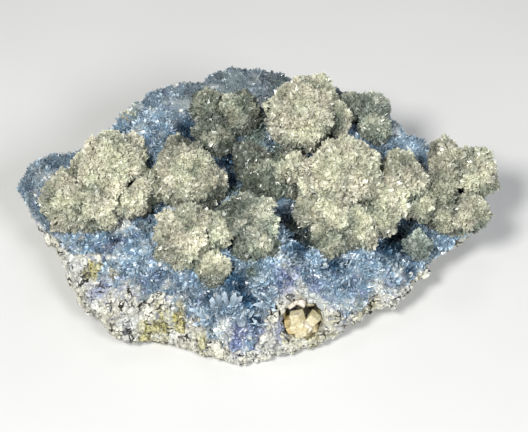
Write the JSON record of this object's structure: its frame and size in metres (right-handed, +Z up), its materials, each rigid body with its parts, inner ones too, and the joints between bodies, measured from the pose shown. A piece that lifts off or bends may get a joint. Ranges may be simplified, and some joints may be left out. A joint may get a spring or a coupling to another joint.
{
  "type": "vauxite mineral specimen",
  "caption": "Small cabinet mineral specimen: a slab of pale phosphate rock with a blue crust of bladed crystals and round cream to grey-green balls of tiny glassy blades.",
  "frame": {"origin": "on the flat sawn base, near its middle", "axes": "+X along the slab from left to right, +Y from the bare front face to the back, +Z up"},
  "size_m": [0.0903, 0.057, 0.0311],
  "materials": {
    "matrix": "rough, nodular, with ochre stains",
    "vauxite": "glassy blue blades with whitish edges",
    "cream_crystals": "glassy cream blades",
    "grey_green_crystals": "glassy greenish-grey blades",
    "buff_crystals": "dull glassy blocks"
  },
  "bodies": {
    "root": {"matrix_rock": "matrix", "vauxite_crust": "vauxite", "left_ball_cluster": "cream_crystals", "left_middle_ball": "cream_crystals", "lower_left_ball": "cream_crystals", "centre_ball": "cream_crystals", "back_left_cluster": "grey_green_crystals", "top_ball": "cream_crystals", "back_right_ball": "grey_green_crystals", "centre_back_cluster": "grey_green_crystals", "right_ball_cluster": "cream_crystals", "right_end_cluster": "cream_crystals", "small_front_ball": "cream_crystals", "buff_crystals": "buff_crystals"}
  },
  "joints": []
}
